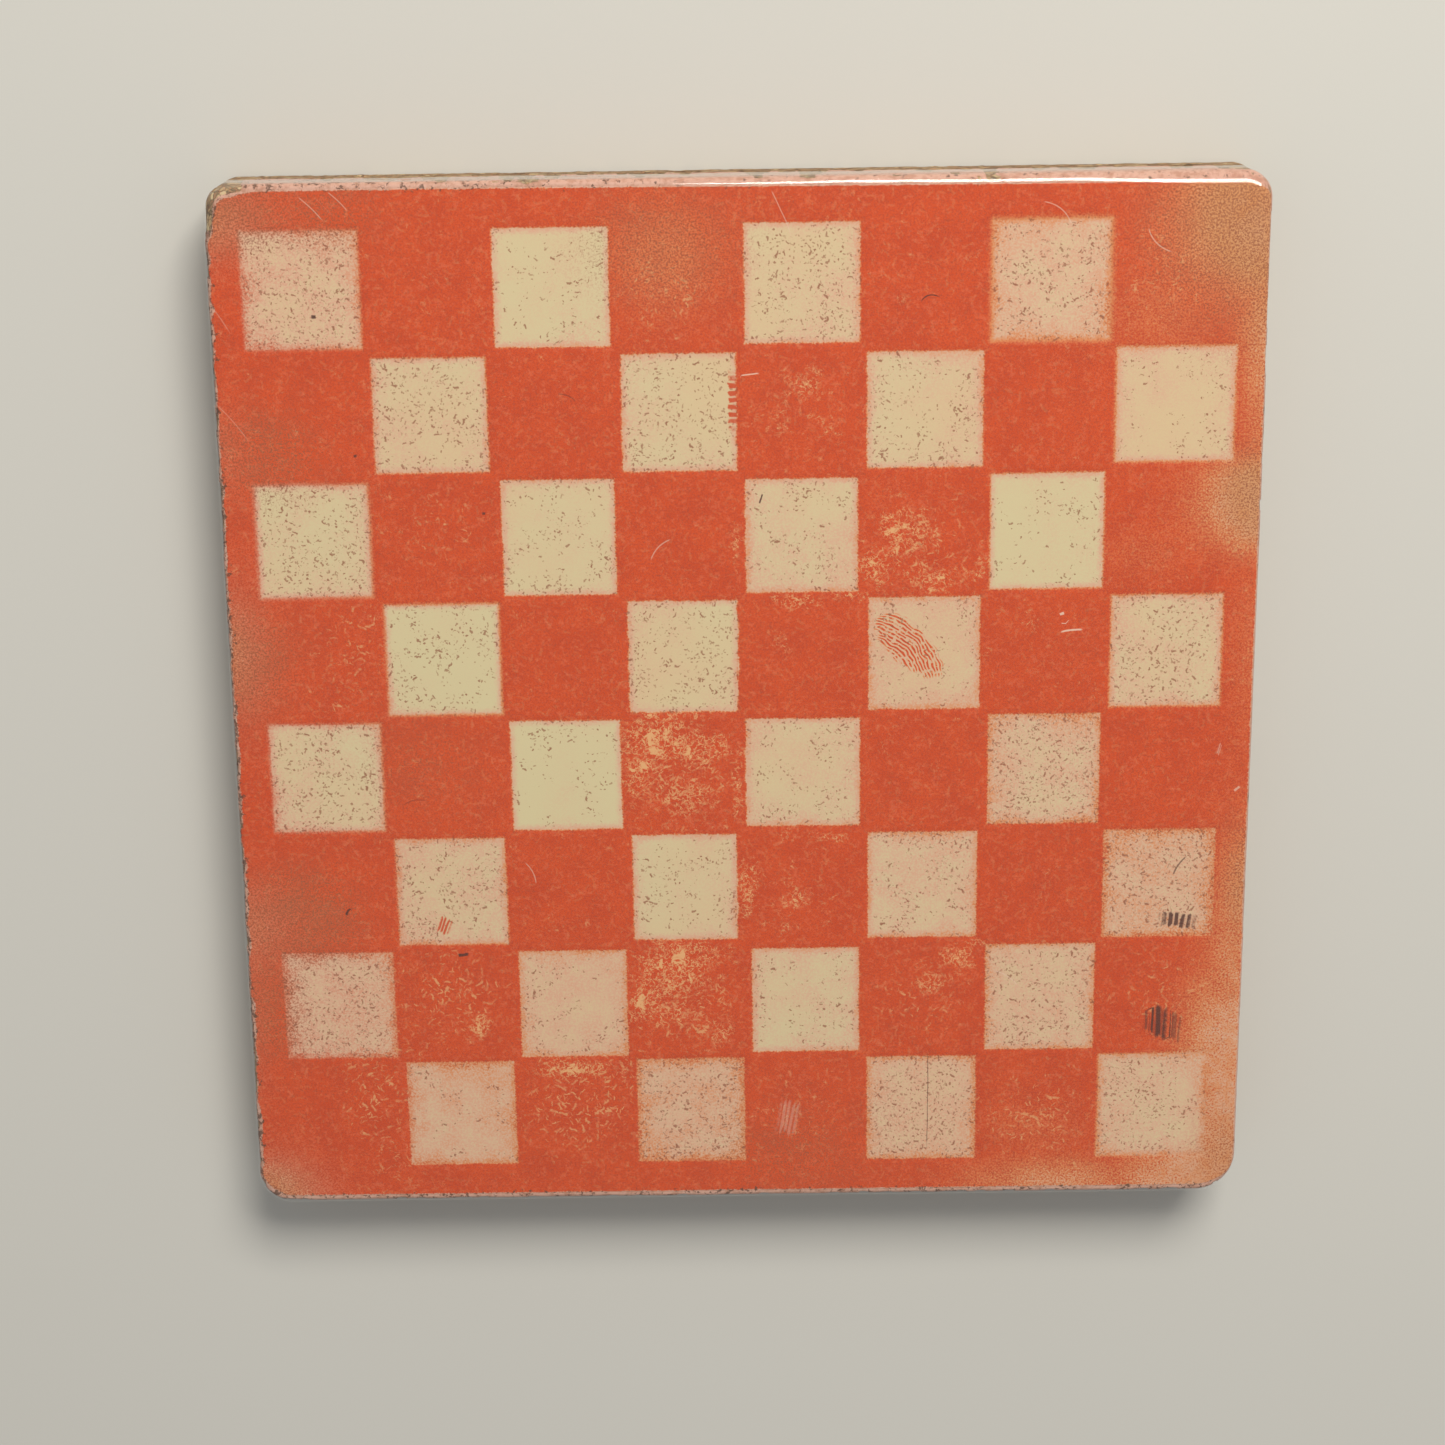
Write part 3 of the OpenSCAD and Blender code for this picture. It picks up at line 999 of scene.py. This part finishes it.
def pits_and_fibres(t, place, loose, v):
    """Short dark dents and crumbs, in drifts."""
    spread = t.noise(place, 5.0, 3.0, rough=0.6)
    density = t.ramp(spread + v.fibres * 0.24, 0.48, 0.74)
    pit, pit_tone = t.dashes(loose, 1.7, 0.52, 0.22, density * 0.9, 0.8)
    crumb, crumb_tone = t.dashes(t.vector("ADD", loose, (31, 17, 0)), 0.9, 0.23, 0.16, density * 0.9)
    pits = t.most(pit * (pit_tone * 0.8 + 0.2), crumb * (crumb_tone * 0.7 + 0.3))
    bark = t.ramp(t.noise(loose, 1.1, 3.0, rough=0.7) + density * 0.07, 0.70, 0.74)
    return t.most(pits, bark * 0.9)


def edge_color(t, place, loose, color, sprayed, v):
    """Stained undercoat past the end of the red, and dark nicks along the front edge that also stand as
    painted shade there, heaviest on the left.
    """
    stained = t.ramp(t.noise(place, 1.6, 4.0, rough=0.65), 0.42, 0.66)
    color = t.mix((1 - sprayed) * 0.95, color, t.mix(stained * 0.8, SIDE_PINK, SIDE_TAN))
    # The dark nicks near the rim are partly chips and partly painted shade along the front edge.
    near_rim = t.ramp(v.bound, 1.8, -0.4) * v.rough
    nick_and_shade = t.ramp(t.noise(loose, 1.0, 3.0, rough=0.65) + near_rim * 0.20, 0.70, 0.76)
    return t.mix(nick_and_shade * t.ramp(near_rim, 0.05, 0.3) * 0.85, color, NICK_AND_SHADE)


def marked(t, place, color, v):
    """Smears, scratches and streaks, each drawn in its own mark's directions."""
    along, across, tone = v.mark_u, v.mark_v, v.mark_tone
    bent = across + along * along * v.mark_bend
    fuzz = t.noise(place, 0.7, 2.0) - 0.5
    lane = across * v.mark_streaks
    lanes = t.node("CombineXYZ", {"X": lane * 0.9, "Y": along * 0.3})
    uneven = t.noise(t.out(lanes), 1.0, 1.0) - 0.5
    reach = t.ramp(abs(bent) + fuzz * 0.7, 1.15, 0.55)
    ends = t.ramp(abs(along) + fuzz * 0.25 + uneven * 1.1, 1.05, 0.75)
    streaks = t.math("SINE", (lane + uneven * 1.3 + fuzz * 0.25) * 3.14)
    gaps = t.ramp(tone, -0.97, -0.93, 0.5, 0.12)
    streaky = t.ramp(v.mark_streaks, 0.2, 0.8)
    broken = t.mix(streaky, (1, 1, 1, 1), t.ramp(streaks, -0.9, 0.2, gaps, 1.0))
    mark = reach * ends * broken * t.ramp(v.mark_on, 0.4, 0.7)
    reddish = t.ramp(tone, -0.36, -0.34) * t.ramp(tone, -0.2, -0.28)
    strength = t.math("MINIMUM", abs(tone) * 1.2 + reddish * 0.6, 0.92)
    dark = t.mix(t.ramp(tone, -0.36, -0.34), INK, DEEP_RED)
    mark_color = t.mix(t.ramp(tone, -0.05, 0.05), dark, WHITE_SCRATCH)
    return t.mix(mark * strength, color, mark_color)


def paint_group():
    """Colour, roughness and height of the paint, the same for the cream coat and the red one."""
    group = bpy.data.node_groups.new("paint", "ShaderNodeTree")
    for name, kind in (("Color", "Color"), ("Roughness", "Float"), ("Height", "Float")):
        group.interface.new_socket(name, in_out="OUTPUT", socket_type="NodeSocket" + kind)
    t = Tree(group)
    place = t.place()
    loose = t.wander(place, 1.3, 0.95)
    v = SimpleNamespace(**{name: t.attribute(name) for name in PAINT_VALUES})
    grain = t.noise(place, 0.42, 3.0, rough=0.7)
    cloud = t.noise(place, 6.0, 3.0)
    red, sprayed = amount_of_red(t, place, grain, cloud, v)
    red = t.most(red, ridge_pattern(t, place) * 0.95)
    bared = bared_patches(t, place, loose, grain, v) * t.ramp(red, 0.3, 0.8)
    pits = pits_and_fibres(t, place, loose, v)
    inside = t.ramp(v.edge, 0.6, -0.2)
    color = coat_color(t, place, red, grain, cloud, v)
    color = t.mix(bared, color, SCUFF)
    color = dulled(t, color, red, grain, cloud, v)
    color = t.mix(pits * (inside * 0.58 + 0.22), color, PIT)
    color = edge_color(t, place, loose, color, sprayed, v)
    color = marked(t, place, color, v)

    ending = group.nodes.new("NodeGroupOutput")
    t.feed(ending.inputs["Color"], color)
    t.feed(ending.inputs["Roughness"], t.ramp(grain, 0.3, 0.8, 0.42, 0.55))
    t.feed(ending.inputs["Height"], red * 0.03 - pits * 0.05)
    return group


def paint_material(name, group, depth):
    material, t = new_material(name)
    paint = t.tree.nodes.new("ShaderNodeGroup")
    paint.node_tree = group
    bump = t.node("Bump", {"Height": t.out(paint, "Height"), "Strength": depth, "Distance": MM})
    shader = t.node("BsdfPrincipled", {
        "Base Color": t.out(paint, "Color"), "Roughness": t.out(paint, "Roughness"),
        "Normal": t.out(bump), "IOR": 1.3,
    })
    t.show(shader)
    return material


# ---- chipboard and varnish

CHIP_BROWN = srgb(118, 96, 72)
CHIP_TAN = srgb(176, 148, 108)
CHIP_PALE = srgb(206, 184, 142)
CHIP_GAP = srgb(62, 48, 36)
OVERSPRAY = srgb(208, 130, 95)


def chipboard_material(name, chip, pale):
    """Pressed wood chips: flat flakes of many browns, each with its own grain, and dark gaps."""
    material, t = new_material(name)
    place = t.place()
    flat = t.vector("MULTIPLY", t.wander(place, 0.5, 1.2), (1, 1, 2.6))
    net = t.node("TexVoronoi", {"Vector": flat, "Scale": 1 / chip, "Randomness": 1.0})
    chance = t.parts(t.out(net, "Color"))
    gap = t.node("TexVoronoi", {"Vector": flat, "Scale": 1 / chip, "Randomness": 1.0},
                 feature="DISTANCE_TO_EDGE")
    turned = t.turned(place, chance[0] * 6.28)
    grain = t.noise(turned, 0.35, 3.0, stretch=(0.12, 1, 1), rough=0.6)
    tone = chance[1] * 0.6 + grain * 0.5
    color = t.mix(t.ramp(tone, 0.15, 0.95), CHIP_BROWN, CHIP_TAN)
    color = t.mix(t.ramp(chance[2], 0.72, 0.95) * pale, color, CHIP_PALE)
    dark = t.ramp(t.out(gap, "Distance"), 0.02, 0.10, 0.55, 0.0)
    void = t.ramp(t.noise(flat, chip * 1.2, 3.0), 0.64, 0.72) * 0.8
    color = t.mix(t.most(dark, void), color, CHIP_GAP)
    x, y, _ = t.parts(place)
    out_x = abs(x) - float(SLAB_HIGH[0])
    out_y = abs(y) - float(SLAB_HIGH[1])
    near = t.ramp(t.most(out_x, out_y) + t.noise(place, 8.0, 3.0) * 12, -8.0, 12.0)
    mist = near * t.ramp(t.noise(place, 0.5, 2.0, rough=0.7), 0.45, 0.7) * 0.45
    color = t.mix(mist, color, OVERSPRAY)
    height = grain * 0.25 + chance[1] * 0.35 - dark * 0.4 - void * 0.5
    bump = t.node("Bump", {"Height": height, "Strength": 0.6, "Distance": 0.4 * MM})
    shader = t.node("BsdfPrincipled", {
        "Base Color": color, "Roughness": t.ramp(grain, 0.2, 0.8, 0.7, 0.9),
        "Normal": t.out(bump), "IOR": 1.35,
    })
    t.show(shader)
    return material


def varnish_material():
    """Clear gloss: it only adds the shine of its outer surface."""
    material, t = new_material("varnish")
    place = t.place()
    height = t.noise(place, 6.0, 1.0)
    bump = t.out(t.node("Bump", {"Height": height, "Strength": 0.12, "Distance": 0.3 * MM}))
    shine = t.node("BsdfGlossy", {"Color": (1, 1, 1, 1), "Roughness": 0.04, "Normal": bump})
    fresnel = t.out(t.node("Fresnel", {"IOR": 1.5, "Normal": bump}))
    front = 1 - t.out(t.node("NewGeometry"), "Backfacing")
    clear = t.node("BsdfTransparent", {"Color": (1, 1, 1, 1)})
    mixed = t.node("MixShader", {0: fresnel * front, 1: t.out(clear), 2: t.out(shine)})
    t.show(mixed)
    return material


# ---- the scene

FLOOR = srgb(205, 202, 193)
WORLD_LIGHT = 0.38
KEY_PLACE, KEY_SIZE, KEY_POWER = (0.32, 0.96, 1.02), (0.64, 0.52), 19.4  # metres and watts
LENS = 70.45
CAMERA_MM = (-1.0, 170.9, 593.2)


def give(piece, material, *nodes, slot):
    piece.data.materials.append(material)
    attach(piece, "root")
    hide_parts(*nodes)
    return piece


def build_board():
    coarse = chipboard_material("coarse_chipboard", 3.2, 0.5)
    fine = chipboard_material("fine_chipboard", 1.3, 0.9)
    paint = paint_group()
    back = chipboard_layer("back_chips_worn", 0, BACK_TOP, radius_bottom=0.6)
    core = chipboard_layer("chip_core_worn", BACK_TOP, CORE_TOP)
    face = chipboard_layer("face_chips_worn", CORE_TOP, FACE_Z, radius_top=front_radius)
    give(back, fine, "back_chips", slot="fine_chipboard")
    give(core, coarse, "chip_core", slot="coarse_chipboard")
    give(face, fine, "face_chips", slot="fine_chipboard")
    cream = paint_material("cream_paint", paint, 0.35)
    red = paint_material("red_paint", paint, 0.35)
    give(cream_undercoat(), cream, "cream_undercoat", slot="cream_paint")
    give(red_coat(), red, "red_coat", slot="red_paint")
    give(clear_varnish(), varnish_material(), "clear_varnish", slot="varnish")


def build_floor():
    material, t = new_material("floor")
    shader = t.node("BsdfPrincipled", {"Base Color": FLOOR, "Roughness": 0.9, "IOR": 1.2})
    t.show(shader)
    mesh = bpy.data.meshes.new("floor")
    side, z = 3.0, -0.0002
    corners = [(-side, -side, z), (side, -side, z), (side, side, z), (-side, side, z)]
    mesh.from_pydata(corners, [], [(0, 1, 2, 3)])
    mesh.materials.append(material)
    floor = bpy.data.objects.new("floor", mesh)
    bpy.context.scene.collection.objects.link(floor)


def area_light(name, place, target, size, power, color):
    data = bpy.data.lights.new(name, "AREA")
    data.shape, data.size, data.size_y = "RECTANGLE", size[0], size[1]
    data.energy, data.color = power, color
    light = bpy.data.objects.new(name, data)
    light.location = place
    aim = Vector(target) - Vector(place)
    light.rotation_euler = aim.to_track_quat("-Z", "Y").to_euler()
    bpy.context.scene.collection.objects.link(light)


def build_light():
    world = bpy.data.worlds.new("studio")
    world.use_nodes = True
    background = world.node_tree.nodes["Background"]
    background.inputs["Color"].default_value = (0.95, 0.97, 1.0, 1)
    background.inputs["Strength"].default_value = WORLD_LIGHT
    bpy.context.scene.world = world
    area_light("key", KEY_PLACE, (0, 0, 0), KEY_SIZE, KEY_POWER, (1.0, 0.97, 0.92))


def build_camera():
    right = Vector((0.99989, -0.01451, -0.00063))
    up = Vector((0.01372, 0.95748, -0.28816))
    back = Vector((0.00478, 0.28812, 0.95758))
    data = bpy.data.cameras.new("camera")
    data.sensor_width, data.lens = 36, LENS
    data.clip_start, data.clip_end = 0.01, 20
    camera = bpy.data.objects.new("camera", data)
    turn = Matrix((right, up, back)).transposed().to_4x4()
    camera.matrix_world = Matrix.Translation(Vector(CAMERA_MM) * MM) @ turn
    bpy.context.scene.collection.objects.link(camera)
    bpy.context.scene.camera = camera


build_board()
build_floor()
build_light()
build_camera()
bpy.context.scene.view_settings.view_transform = "Standard"
